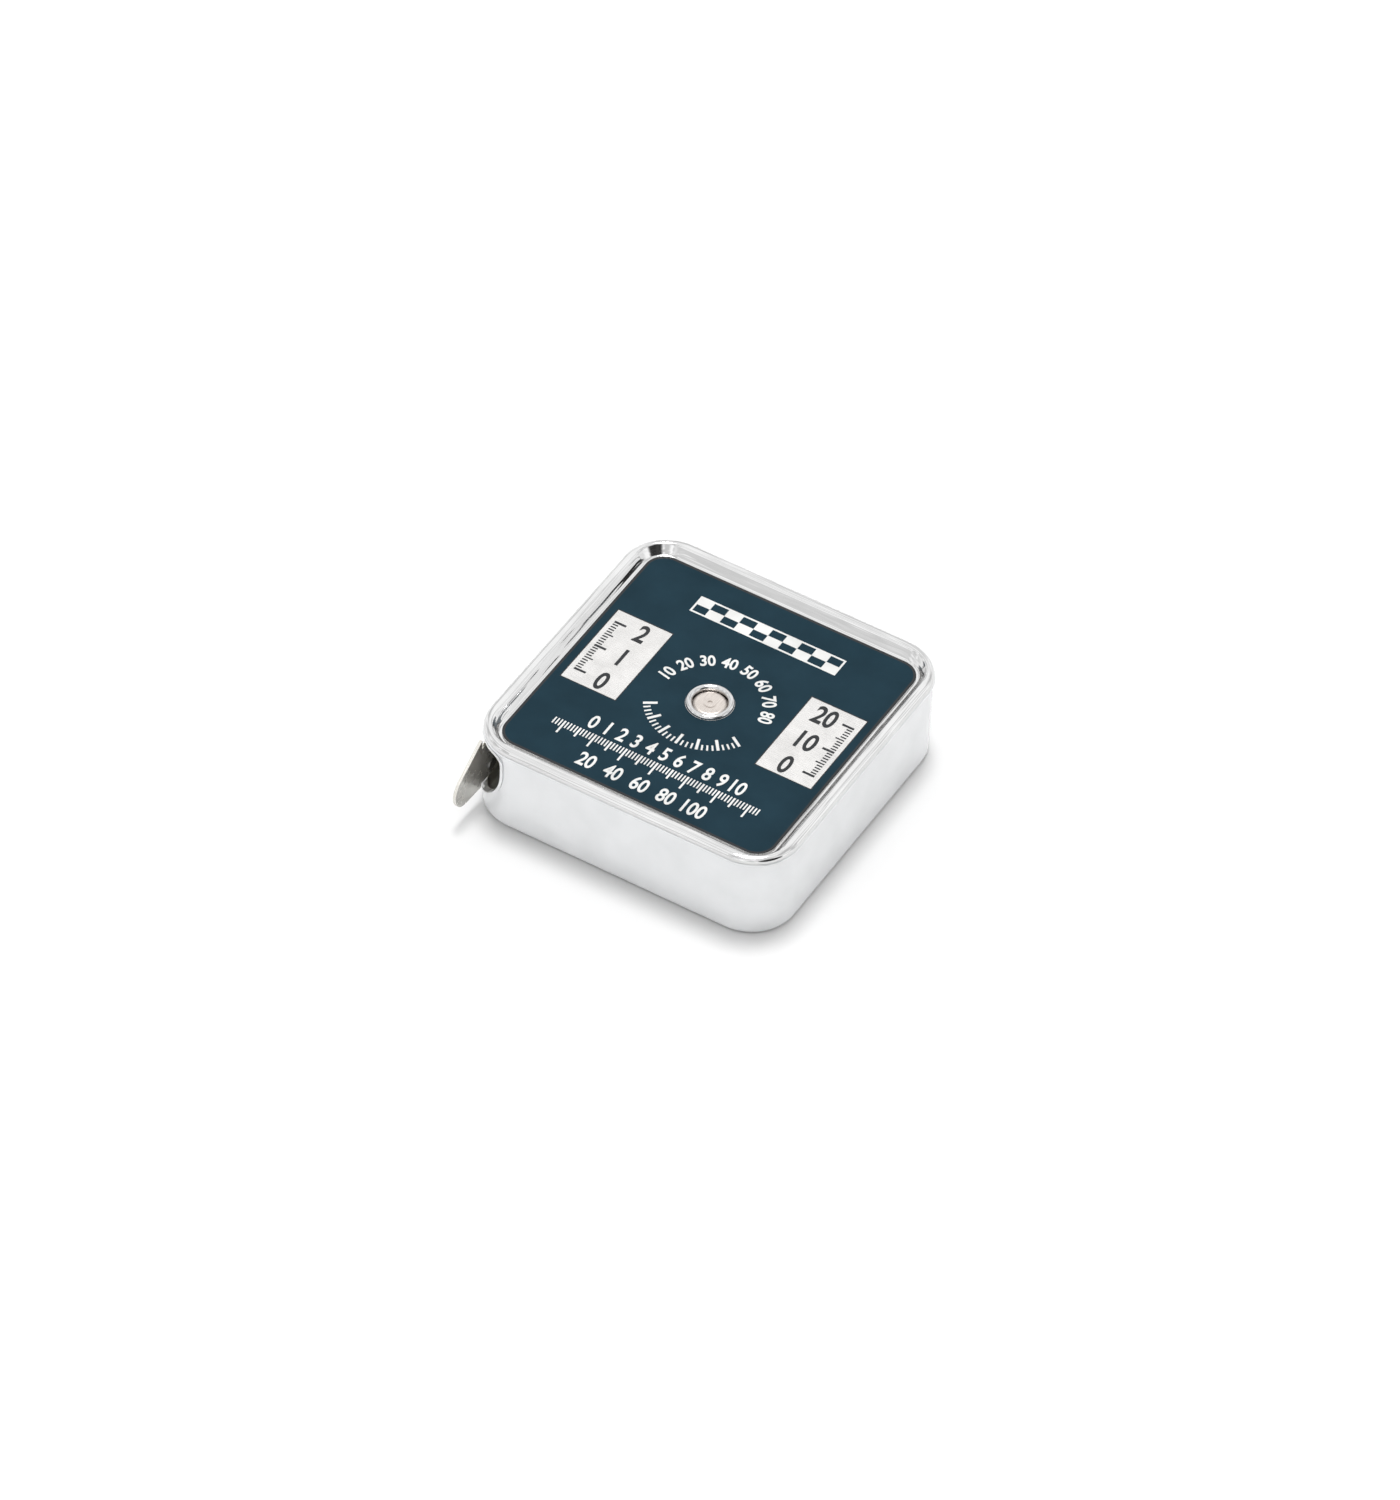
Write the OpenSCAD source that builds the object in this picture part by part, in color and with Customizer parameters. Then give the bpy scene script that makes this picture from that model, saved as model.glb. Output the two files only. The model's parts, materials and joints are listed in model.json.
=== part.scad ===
// Pocket steel tape measure: square pressed case, 2 m blade on a spring drum, centre release button.
// Millimetres, +Z up. The origin is the middle of the underside, on the axis of the drum and the button.

/* [Case] */
// Width and depth of the case, over its rolled edge
case_w = 50; // [50:0.5:54]
// Height of the case, to the crest of the rim
case_h = 15; // [15:0.5:17]
// Radius of the upright corners, over the rolled edge
corner_r = 7.3; // [7:0.1:7.3]
// Thickness of the pressed body
body_sheet = 0.6; // [0.5:0.05:0.6]
// Radius of the body's rolled upper edge
edge_r = 0.25; // [0.2:0.05:0.25]
// How far the rolled edge stands proud of the body's walls
edge_proud = 0.2; // [0.1:0.05:0.2]
// Rounding between the walls and the underside
base_round = 1; // [0.8:0.1:1.2]

/* [Cover] */
// Thickness of the pressed cover
cover_sheet = 0.5; // [0.45:0.05:0.5]
// Depth of the recess, from the crest of the rim down to the cover's panel
recess = 1.5; // [1.4:0.05:1.5]
// How far the rim lies inside the body's rolled edge
rim_inset = 0.1; // [0.05:0.05:0.15]
// Outer rounding of the rim
rim_round = 0.8; // [0.7:0.05:0.8]
// Slope of the recess's side, up from the panel
recess_slope = 56; // [56:1:60]
// Rounding at the foot and at the lip of the recess's side
recess_round = 0.4; // [0.3:0.05:0.4]
// Half the width of the recess, at the foot of the rim
foot_half = 22.15; // [22.1:0.01:22.15]
// Corner radius of the recess, at the foot of the rim
foot_r = 3.3; // [3.3:0.05:3.4]

/* [Label] */
// Width of the label plate
label_w = 43.86; // [43.6:0.02:43.9]
// Thickness of the label plate
label_t = 0.2; // [0.15:0.05:0.25]
// Corner radius of the label plate
label_r = 3.1; // [3.05:0.05:3.3]

/* [Blade mouth] */
// Distance from the middle of the case to the mouth's inner side
mouth_side = 19; // [18.9:0.1:19.1]
// Radius of the mouth's upper corner
mouth_high_r = 1.5; // [1:0.1:1.6]
// Radius of the mouth's wide lower corner
mouth_low_r = 7.5; // [7.3:0.1:7.6]
// Width of the raised lip round the mouth
lip_w = 0.45; // [0.3:0.05:0.5]

/* [Tape] */
// Width of the blade
blade_h = 7.6; // [7.2:0.1:7.8]
// Thickness of the blade
blade_t = 0.12; // [0.1:0.01:0.13]
// Radial step from one turn of the wound tape to the next
coil_pitch = 0.14; // [0.135:0.005:0.14]
// Turns of tape on the drum when it is wound in
coil_turns = 15; // [12:1:16]

/* [Pull tab] */
// Thickness of the folded tab
tab_t = 0.46; // [0.4:0.02:0.46]
// Height of the tab where it stops against the mouth
tab_h = 9.2; // [9:0.1:9.3]
// Radius of the tab's rounded tip
tab_tip_r = 3; // [2.6:0.1:3.2]
// Distance that the tab stands out past the front wall
tab_out = 3.9; // [3.8:0.1:5]

/* [Drum] */
// Outer radius of the drum's two flanges
flange_r = 23.6; // [23.5:0.05:23.6]
// Thickness of the drum's sheet
drum_sheet = 0.5; // [0.4:0.05:0.5]
// Radius of the fixed post that the drum turns on
post_r = 2.5; // [2.3:0.1:2.5]
// Running clearance between the post and the drum
run_gap = 0.08; // [0.05:0.01:0.1]

/* [Power spring] */
// Thickness of the spring strip
spring_t = 0.15; // [0.1:0.01:0.18]
// Width of the spring strip
spring_h = 7; // [6:0.1:7.1]
// Turns that lie packed near the barrel
packed_turns = 9; // [6:1:10]
// Turns that run free from the packed ones to the post
free_turns = 4; // [3:1:4]

/* [Button and brake] */
// Diameter of the button
button_d = 5; // [4.8:0.1:5.2]
// Travel of the button
button_travel = 0.6; // [0.4:0.05:0.6]
// Distance from the button to the brake arm's pivot
pivot_x = 10; // [10:0.1:10.4]
// Width of the brake arm
arm_w = 3.6; // [3:0.1:3.8]
// Diameter of the brake arm's pivot pin
pin_d = 0.7; // [0.6:0.05:0.7]

/* [Fasteners] */
// Distance of each corner post from the middle, along X and along Y
screw_at = 19.3; // [19.2:0.05:19.5]
// Diameter of the screw heads
screw_head_d = 3; // [2.6:0.1:3]
// Diameter of the screws' threads
screw_d = 1.4; // [1.2:0.1:1.6]

/* [Hidden] */
$fn = 96;

over = 1;
gap = 0.05;

// corner centres: the whole case shares one set, the recess and the label have their own
half = case_w / 2;
corner_at = half - corner_r;
foot_at = foot_half - foot_r;
label_at = label_w / 2 - label_r;

// levels, from the underside up
panel_z = case_h - recess;
panel_under = panel_z - cover_sheet;
label_top = panel_z + label_t;
shoulder_z = case_h - 0.9;
rim_z = shoulder_z + 0.1;
boss_top = body_sheet + 0.4;
post_flange_top = boss_top + 0.35;
washer_top = post_flange_top + 0.25;
floor_z = washer_top + 0.1;
floor_top = floor_z + drum_sheet;
mouth_z = floor_top + 0.2;
mouth_top = panel_under + 0.1;
blade_z = mouth_z + 0.6;
blade_mid = blade_z + blade_h / 2;
cover_z = blade_z + blade_h + 0.3;
cover_top = cover_z + 0.4;
shoe_z = cover_top + gap;
arm_z = panel_under - 1;
arm_t = 0.4;
arm_top = arm_z + arm_t;
post_top = cover_top - 0.1;

// radii about the corner centres
wall_r = corner_r - edge_proud;
wall_inner_r = wall_r - body_sheet;
rim_r = corner_r - rim_inset;
skirt_r = wall_inner_r - gap;

// the tape is wound between the barrel and the edge of the flanges
coil_r = flange_r - blade_t / 2 - 0.01;
barrel_r = coil_r - coil_turns * coil_pitch - blade_t / 2 - 0.01;

// the blade's straight run lies between the wound tape and the left wall
blade_x = -(flange_r + 0.19 + blade_t / 2);
mouth_back = -(corner_at + 0.2);

/* ---------- shared shapes ---------- */

// Sweeps an upright profile round a rounded square; its x is the distance out from the corner centres.
module rounded_sweep(at) {
    for (turn = [0 : 90 : 270])
        rotate([0, 0, turn]) {
            translate([at, at, 0])
                rotate_extrude(angle = 90)
                    children();
            translate([at, at, 0])
                rotate([90, 0, 0])
                    linear_extrude(2 * at)
                        children();
        }
}

module centre_slab(at, low, high) {
    translate([-at, -at, low])
        cube([2 * at, 2 * at, high - low]);
}

module rounded_square(at, r) {
    square([2 * (at + r), 2 * at], center = true);
    square([2 * at, 2 * (at + r)], center = true);
    for (x = [-at, at], y = [-at, at])
        translate([x, y])
            circle(r);
}

module disc(r, low, high) {
    translate([0, 0, low])
        cylinder(r = r, h = high - low);
}

module ring(outer, inner, low, high) {
    difference() {
        disc(outer, low, high);
        disc(inner, low - over, high + over);
    }
}

module at_corners() {
    for (x = [-screw_at, screw_at], y = [-screw_at, screw_at])
        translate([x, y, 0])
            children();
}

// A block between two corners, given as lowest and highest points.
module block(low, high) {
    translate(low)
        cube(high - low);
}

// A strip wound into a spiral of half rings, which cross the X axis at the radii in crossings.
// The outer end is on -X; from there the strip runs over the +Y side and inward.
module wound_strip(crossings, thick, low, high) {
    for (k = [0 : len(crossings) - 2]) {
        side = k % 2 == 0 ? -1 : 1;
        r = (crossings[k] + crossings[k + 1]) / 2;
        shift = side * (crossings[k] - crossings[k + 1]) / 2;
        translate([shift, 0, low])
            rotate([0, 0, k % 2 == 0 ? 0 : 180])
                rotate_extrude(angle = 180)
                    translate([r - thick / 2, 0])
                        square([thick, high - low]);
    }
}

/* ---------- case ---------- */

// The body's section: base, rounded lower edge, wall, and the rolled upper edge.
module body_profile() {
    inner_round = base_round - body_sheet;
    edge_at = [corner_r - edge_r, shoulder_z - edge_r];
    difference() {
        union() {
            rounded_corner(wall_r, base_round, 0, edge_at[1]);
            translate([0, base_round])
                square([edge_at[0], shoulder_z - base_round]);
            translate(edge_at)
                circle(edge_r);
        }
        rounded_corner(wall_inner_r, inner_round, body_sheet, shoulder_z + over);
    }
}

// A region out to r and from low to high, with its lower outer corner rounded.
module rounded_corner(r, round, low, high) {
    translate([0, low])
        square([r - round, high - low]);
    translate([0, low + round])
        square([r, high - low - round]);
    translate([r - round, low + round])
        circle(round);
}

// The mouth's outline, seen from the front: open to the left, with two rounded corners on the right.
module mouth_outline(grow) {
    left = -half - 3;
    right = -mouth_side + grow;
    low = mouth_z - grow;
    high = mouth_top + grow;
    low_r = mouth_low_r + grow;
    high_r = mouth_high_r + grow;
    translate([left, low])
        square([right - low_r - left, high - low]);
    translate([left, low + low_r])
        square([right - high_r - left, high - low - low_r]);
    translate([left, low + low_r])
        square([right - left, high - high_r - low - low_r]);
    translate([right - high_r, high - high_r])
        circle(high_r);
    translate([right - low_r, low + low_r])
        intersection() {
            circle(low_r);
            translate([-0.3, -low_r])
                square([low_r + 0.3, low_r + 0.3]);
        }
}

module mouth_prism(grow) {
    translate([0, mouth_back + grow, 0])
        rotate([90, 0, 0])
            linear_extrude(half + over + mouth_back + grow)
                mouth_outline(grow);
}

// The raised lip that runs round the mouth, out to the line of the rolled edge.
module mouth_lip() {
    difference() {
        intersection() {
            mouth_prism(lip_w);
            linear_extrude(shoulder_z)
                difference() {
                    rounded_square(corner_at, corner_r);
                    rounded_square(corner_at, wall_inner_r);
                }
        }
        mouth_prism(0);
    }
}

module case_body() {
    color("gainsboro") {
        mouth_lip();
        difference() {
            union() {
                rounded_sweep(corner_at)
                    body_profile();
                centre_slab(corner_at, 0, body_sheet);
                disc(4.6, 0, boss_top);
                at_corners()
                    disc(screw_head_d / 2 + 0.7, 0, 1.3);
            }
            disc(3.8, -over, 0.4);
            disc(1.5, -over, boss_top + over);
            at_corners() {
                disc(screw_head_d / 2 + gap, -over, 0.7);
                disc(screw_d / 2 + gap, -over, 2);
            }
            mouth_prism(0);
        }
    }
}

// The cover's outside: a skirt that plugs into the body, and the rim over the body's rolled edge.
module rim_profile() {
    crest_r = rim_r - rim_round;
    translate([0, panel_under])
        square([skirt_r, rim_z + 0.2 - panel_under]);
    intersection() {
        union() {
            square([crest_r, case_h]);
            square([rim_r, case_h - rim_round]);
            translate([crest_r, case_h - rim_round])
                circle(rim_round);
        }
        translate([0, rim_z])
            square([rim_r, case_h - rim_z]);
    }
}

// The recess: its side curves up from the panel, slopes outward and rolls over into the crest.
module recess_profile() {
    top = case_h + over;
    turn_out = recess_round * sin(recess_slope);
    turn_up = recess_round * (1 - cos(recess_slope));
    slope_out = (recess - 2 * turn_up) / tan(recess_slope);
    lip_r = foot_r + 2 * turn_out + slope_out;
    difference() {
        union() {
            polygon([
                [0, panel_z],
                [foot_r, panel_z],
                [foot_r + turn_out, panel_z + turn_up],
                [lip_r - turn_out, case_h - turn_up],
                [lip_r, case_h],
                [lip_r, top],
                [0, top]
            ]);
            translate([foot_r, panel_z + recess_round])
                circle(recess_round);
        }
        translate([lip_r, case_h - recess_round])
            circle(recess_round);
    }
}

// The hollow behind the skirt.
module channel_profile() {
    width = 0.45;
    top = case_h - 1.3;
    translate([skirt_r - cover_sheet - width, panel_under - over])
        square([width, top - panel_under + over]);
}

module top_cover() {
    color("silver")
        difference() {
            union() {
                rounded_sweep(corner_at)
                    rim_profile();
                centre_slab(corner_at, panel_under, case_h);
            }
            rounded_sweep(foot_at)
                recess_profile();
            centre_slab(foot_at, panel_z, case_h + over);
            rounded_sweep(corner_at)
                channel_profile();
            disc(button_d / 2 + 0.45, 0, case_h);
        }
}

module label_plate() {
    color([0.16, 0.25, 0.3])
        difference() {
            translate([0, 0, panel_z])
                linear_extrude(label_t)
                    rounded_square(label_at, label_r);
            disc(button_d / 2 + 0.5, 0, case_h);
        }
}

// The bright eyelet that guides the button.
module button_collar() {
    bore = button_d / 2 + run_gap;
    barrel = button_d / 2 + 0.45;
    bead = 0.435;
    color("whitesmoke") {
        ring(barrel, bore, panel_under, label_top);
        rotate_extrude()
            intersection() {
                translate([bore + bead, label_top + 0.1])
                    union() {
                        circle(bead);
                        translate([-bead, -0.1])
                            square([2 * bead, 0.1]);
                    }
                translate([bore, label_top])
                    square([2 * bead, 1]);
            }
    }
}

module corner_posts() {
    color("lightgray")
        at_corners()
            difference() {
                disc(1.7, 1.3, panel_under);
                disc(screw_d / 2, 1, 6.5);
            }
}

module case_screws() {
    color("darkgray")
        at_corners()
            difference() {
                union() {
                    disc(screw_head_d / 2, 0.1, 0.7);
                    disc(screw_d / 2, 0.7, 5.5);
                }
                block([-screw_head_d, -0.2, -over], [screw_head_d, 0.2, 0.35]);
            }
}

/* ---------- post and drum ---------- */

module centre_post() {
    slot_w = 0.4;
    color("goldenrod")
        difference() {
            union() {
                disc(1.5, 0, boss_top);
                disc(3.6, boss_top, post_flange_top);
                disc(post_r, post_flange_top, post_top);
            }
            block([-over - post_r, -slot_w / 2, floor_top + 1], [0, slot_w / 2, post_top + over]);
        }
}

module post_washer() {
    color("lightgray")
        ring(3.4, 1.5, 0, 0.4);
}

module thrust_washer() {
    color("ivory")
        ring(4.4, post_r + gap, post_flange_top, washer_top);
}

module hub_bush() {
    color("goldenrod")
        ring(3.4, post_r + run_gap, floor_z - gap, floor_top + 0.9);
}

module drum() {
    color("lightsteelblue")
        difference() {
            union() {
                ring(flange_r, 3.4, floor_z, floor_top);
                ring(barrel_r, barrel_r - drum_sheet, floor_top, cover_z);
            }
            rotate([0, 0, clip_angle])
                block([barrel_r - 2, -1.5, blade_z + 1], [barrel_r + over, 1.5, blade_z + blade_h - 1]);
        }
}

module drum_cover() {
    color("lightsteelblue")
        difference() {
            ring(flange_r, post_r + run_gap, cover_z, cover_top);
            at_cover_rivets()
                disc(0.5, cover_z - over, cover_top + over);
        }
}

// Three rivets hold the cover to tabs inside the barrel.
rivet_count = 3;
rivet_ring_r = barrel_r - drum_sheet - 0.65;

module at_cover_rivets() {
    for (i = [0 : rivet_count - 1])
        rotate([0, 0, 60 + i * 360 / rivet_count])
            translate([rivet_ring_r, 0, 0])
                children();
}

module cover_rivets() {
    color("dimgray")
        at_cover_rivets()
            disc(0.5, cover_z - 0.5, cover_top);
}

// The clip in the barrel's slot that holds the inner end of the tape.
clip_angle = 135;

module tape_clip() {
    color("darkgray")
        rotate([0, 0, clip_angle])
            block([barrel_r - drum_sheet, -1.4, blade_z + 1.1],
                  [barrel_r - 0.1, 1.4, blade_z + blade_h - 1.1]);
}

/* ---------- tape ---------- */

module tape_coil() {
    crossings = [for (k = [0 : 2 * coil_turns]) coil_r - k * coil_pitch / 2];
    color("khaki")
        wound_strip(crossings, blade_t, blade_z, blade_z + blade_h);
}

tab_root = -(corner_at + sqrt(pow(corner_r, 2) - pow(-blade_x - tab_t / 2 - corner_at, 2)) + 0.1);
blade_end = tab_root + 0.6;
shank_end = mouth_back - 0.4;
shank_h = 6.8;

module tape_blade() {
    color("khaki")
        difference() {
            block([blade_x - blade_t / 2, blade_end, blade_z],
                  [blade_x + blade_t / 2, 0, blade_z + blade_h]);
            at_tab_rivets()
                cylinder(r = 0.5, h = 2, center = true);
        }
}

// The point where a line from p touches a circle, on its upper or lower side.
function touch_point(p, centre, r, side) =
    let(away = p - centre, d = norm(away), turn = acos(r / d), toward = atan2(away[1], away[0]))
    centre + r * [cos(toward + side * turn), sin(toward + side * turn)];

// The tab's outline, as (distance out from the middle of the case, height).
module tab_outline() {
    root_low = [-tab_root, mouth_z + 0.25];
    root_high = root_low + [0, tab_h];
    tip = [half + tab_out - tab_tip_r, root_low[1] + tab_tip_r + 0.25];
    polygon([
        root_low,
        touch_point(root_low, tip, tab_tip_r, 1),
        tip,
        touch_point(root_high, tip, tab_tip_r, -1),
        root_high
    ]);
    translate(tip)
        circle(tab_tip_r);
    translate([-shank_end, blade_mid - shank_h / 2])
        square([shank_end - tab_root + 1, shank_h]);
}

module end_tab() {
    color("silver")
        difference() {
            translate([blade_x - tab_t / 2, 0, 0])
                rotate([90, 0, -90])
                    mirror([0, 0, 1])
                        linear_extrude(tab_t)
                            tab_outline();
            block([blade_x - blade_t / 2, blade_end, 0], [blade_x + blade_t / 2, 0, case_h]);
            at_tab_rivets()
                cylinder(r = 0.5, h = 2, center = true);
        }
}

module at_tab_rivets() {
    for (side = [-1, 1])
        translate([blade_x, shank_end - 1.2, blade_mid + side * 1.8])
            rotate([0, 90, 0])
                children();
}

module tab_rivets() {
    color("gray")
        at_tab_rivets() {
            cylinder(r = 0.5, h = tab_t, center = true);
            translate([0, 0, tab_t / 2])
                cylinder(r = 0.85, h = 0.15);
        }
}

/* ---------- power spring ---------- */

anchor_r = 0.5;
eye_r = anchor_r + spring_t;
outer_r = barrel_r - drum_sheet - 0.5;
inner_r = post_r + 0.4;
packed_pitch = 0.28;
packed_outer = outer_r - 2 * eye_r - 0.3;
packed_inner = packed_outer - packed_turns * packed_pitch;
packed_steps = 2 * packed_turns;
free_steps = 2 * free_turns;

// Where the spring crosses the X axis: one wide half turn, the packed turns, then the free ones.
spring_crossings = concat(
    [outer_r, (outer_r + packed_outer) / 2],
    [for (k = [0 : packed_steps - 1]) packed_outer - k * packed_pitch / 2],
    [for (k = [0 : free_steps]) packed_inner + (inner_r - packed_inner) * k / free_steps]
);

module power_spring() {
    low = blade_mid - spring_h / 2;
    color("slategray")
        mirror([1, 0, 0])
            mirror([0, 1, 0]) {
                wound_strip(spring_crossings, spring_t, low, low + spring_h);
                translate([-outer_r + eye_r - spring_t / 2, 0, 0])
                    ring(eye_r, anchor_r, low, low + spring_h);
            }
}

module spring_anchor() {
    color("dimgray")
        translate([outer_r - eye_r + spring_t / 2, 0, 0])
            disc(anchor_r, floor_top, cover_z);
}

/* ---------- button and brake ---------- */

flange_top = panel_under - gap;
// the button is sunk in its collar, level with the label
cap_top = label_top;
cap_round = 0.5;

module button_cap() {
    r = button_d / 2;
    color("linen")
        difference() {
            union() {
                disc(r + 0.6, flange_top - 0.3, flange_top);
                disc(r, flange_top - 0.3, cap_top - cap_round);
                rotate_extrude()
                    intersection() {
                        union() {
                            square([r - cap_round, cap_top]);
                            translate([r - cap_round, cap_top - cap_round])
                                circle(cap_round);
                        }
                        translate([0, cap_top - cap_round])
                            square([r, cap_round]);
                    }
            }
            disc(0.6, 0, case_h + over);
        }
}

module button_stem() {
    color("linen")
        difference() {
            union() {
                disc(0.6, arm_top + gap, cap_top);
                disc(0.9, cap_top, cap_top + 0.08);
            }
            disc(0.35, cap_top - 0.05, cap_top + over);
        }
}

knuckle_r = 0.65;
shoe_low_x = pivot_x + 4.2;
shoe_high_x = pivot_x + 7.8;
arm_end_x = pivot_x + 8;

module along_pivot(r, length) {
    translate([pivot_x, 0, arm_z + arm_t / 2])
        rotate([90, 0, 0])
            cylinder(r = r, h = length, center = true);
}

module brake_arm() {
    color("lightgray")
        difference() {
            union() {
                disc(arm_w / 2, arm_z, arm_top);
                block([0, -arm_w / 2, arm_z], [arm_end_x, arm_w / 2, arm_top]);
                along_pivot(knuckle_r, arm_w);
            }
            along_pivot(pin_d / 2 + 0.03, arm_w + over);
            at_shoe_rivets()
                disc(0.4, arm_z - over, arm_top + over);
        }
}

module at_shoe_rivets() {
    for (x = [shoe_low_x + 0.8, shoe_high_x - 0.8])
        translate([x, 0, 0])
            children();
}

module brake_shoe() {
    color("saddlebrown")
        difference() {
            block([shoe_low_x, -arm_w / 2, shoe_z], [shoe_high_x, arm_w / 2, arm_z]);
            at_shoe_rivets()
                disc(0.4, 0, case_h);
        }
}

module shoe_rivets() {
    color("goldenrod")
        at_shoe_rivets()
            disc(0.4, shoe_z + 0.15, arm_top);
}

module brake_bracket() {
    plate_z = panel_under - 0.3;
    ear_in = arm_w / 2 + 0.35;
    ear_out = ear_in + 0.4;
    color("gray")
        difference() {
            union() {
                block([pivot_x - 3, -ear_out - 1, plate_z], [pivot_x + 3, ear_out + 1, panel_under]);
                for (y = [-ear_out, ear_in])
                    block([pivot_x - 0.8, y, arm_z - 0.4],
                          [pivot_x + 0.8, y + ear_out - ear_in, plate_z + 0.1]);
            }
            block([pivot_x - 1.1, -ear_in, plate_z - over], [pivot_x + 1.1, ear_in, panel_under + over]);
            along_pivot(pin_d / 2, 4 * ear_out);
        }
}

module brake_pin() {
    color("dimgray")
        along_pivot(pin_d / 2, arm_w + 2);
}

// A leaf that hangs from the cover and bears on the arm over the shoe.
module brake_spring() {
    leaf = 0.12;
    top = panel_under;
    foot = arm_top;
    root_x = pivot_x + 3.2;
    color("slategray")
        translate([0, 1.1, 0])
            rotate([90, 0, 0])
                linear_extrude(2.2)
                    polygon([
                        [root_x, top],
                        [root_x, top - leaf],
                        [root_x + 1.2, top - leaf],
                        [root_x + 3.4, foot],
                        [root_x + 4, foot],
                        [root_x + 4, foot + leaf],
                        [root_x + 3.5, foot + leaf],
                        [root_x + 1.3, top]
                    ]);
}

case_body();
top_cover();
label_plate();
button_collar();
corner_posts();
case_screws();
centre_post();
post_washer();
thrust_washer();
brake_bracket();
brake_pin();
brake_spring();
brake_arm();
brake_shoe();
shoe_rivets();
button_cap();
button_stem();
drum();
drum_cover();
cover_rivets();
hub_bush();
power_spring();
spring_anchor();
tape_clip();
tape_coil();
tape_blade();
end_tab();
tab_rivets();
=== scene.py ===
import json
from math import cos, pi, radians, sin

import bmesh
import bpy
from mathutils import Matrix, Vector


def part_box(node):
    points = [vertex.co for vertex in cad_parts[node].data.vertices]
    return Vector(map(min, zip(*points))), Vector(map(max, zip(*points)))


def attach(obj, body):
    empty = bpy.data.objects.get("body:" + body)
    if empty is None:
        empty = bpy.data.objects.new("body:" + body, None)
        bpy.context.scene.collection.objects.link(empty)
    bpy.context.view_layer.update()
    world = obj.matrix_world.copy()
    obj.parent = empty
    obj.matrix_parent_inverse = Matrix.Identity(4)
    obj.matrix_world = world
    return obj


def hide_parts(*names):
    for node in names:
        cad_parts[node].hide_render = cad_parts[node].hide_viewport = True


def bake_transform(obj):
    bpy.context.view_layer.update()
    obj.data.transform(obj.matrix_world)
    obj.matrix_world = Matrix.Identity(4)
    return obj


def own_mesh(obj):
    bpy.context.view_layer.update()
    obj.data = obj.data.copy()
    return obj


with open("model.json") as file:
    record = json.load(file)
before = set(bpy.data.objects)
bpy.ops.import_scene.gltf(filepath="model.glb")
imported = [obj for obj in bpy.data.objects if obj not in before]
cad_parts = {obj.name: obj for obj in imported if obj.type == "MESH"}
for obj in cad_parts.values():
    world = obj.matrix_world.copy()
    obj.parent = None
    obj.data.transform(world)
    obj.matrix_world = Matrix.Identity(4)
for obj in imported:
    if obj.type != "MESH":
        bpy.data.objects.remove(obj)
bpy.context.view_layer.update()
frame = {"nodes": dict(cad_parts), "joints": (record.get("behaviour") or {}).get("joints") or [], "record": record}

MM = 0.001
scene = bpy.context.scene
nodes = frame["nodes"]


# ---------- camera, floor and light ----------

# The camera was fitted to the four edges of the label.
CAMERA_TURN = radians(29.05)
CAMERA_RISE = radians(45.65)
CAMERA_ROLL = radians(2.83)
CAMERA_DISTANCE = 1.2566
CAMERA_LENS = 216
LABEL_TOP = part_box("label_plate")[1].z
AIM_RIGHT = -1.40 * MM
AIM_UP = -6.59 * MM


def make_camera():
    """Aims at a point near the label's middle, from in front and above on the right."""
    level = Vector((cos(CAMERA_TURN), sin(CAMERA_TURN), 0))
    rise = Vector((
        -sin(CAMERA_RISE) * sin(CAMERA_TURN),
        sin(CAMERA_RISE) * cos(CAMERA_TURN),
        cos(CAMERA_RISE),
    ))
    back = level.cross(rise)
    right = level * cos(CAMERA_ROLL) + rise * sin(CAMERA_ROLL)
    up = rise * cos(CAMERA_ROLL) - level * sin(CAMERA_ROLL)
    aim = Vector((0, 0, LABEL_TOP)) + right * AIM_RIGHT + up * AIM_UP
    data = bpy.data.cameras.new("camera")
    data.lens = CAMERA_LENS
    data.clip_end = 100
    camera = bpy.data.objects.new("camera", data)
    scene.collection.objects.link(camera)
    turn = Matrix((right, up, back)).transposed().to_4x4()
    camera.matrix_world = Matrix.Translation(aim + back * CAMERA_DISTANCE) @ turn
    scene.camera = camera


# ---------- node helpers ----------

class Nodes:
    """A node tree, with short calls for the nodes it uses. Its noise lies in the given coordinates."""

    def __init__(self, tree, coordinates):
        self.tree = tree
        self.place = self.node("ShaderNodeTexCoord").outputs[coordinates]

    def node(self, kind, **settings):
        made = self.tree.nodes.new(kind)
        for key, value in settings.items():
            setattr(made, key, value)
        return made

    def link(self, source, target):
        self.tree.links.new(source, target)

    def noise(self, size, detail=3.0, place=None):
        """Soft noise with features of about that size."""
        made = self.node("ShaderNodeTexNoise")
        made.inputs["Scale"].default_value = 1 / size
        made.inputs["Detail"].default_value = detail
        self.link(place or self.place, made.inputs["Vector"])
        return made.outputs["Fac"]

    def ramp(self, value, low, high, start, end, easing="LINEAR"):
        """Maps value from low..high to start..end, clamped."""
        made = self.node("ShaderNodeMapRange", clamp=True, interpolation_type=easing)
        made.inputs["From Min"].default_value = low
        made.inputs["From Max"].default_value = high
        made.inputs["To Min"].default_value = start
        made.inputs["To Max"].default_value = end
        self.link(value, made.inputs["Value"])
        return made.outputs["Result"]

    def math(self, operation, *values):
        made = self.node("ShaderNodeMath", operation=operation)
        for socket, value in zip(made.inputs, values):
            if isinstance(value, (int, float)):
                socket.default_value = value
            else:
                self.link(value, socket)
        return made.outputs["Value"]


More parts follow.
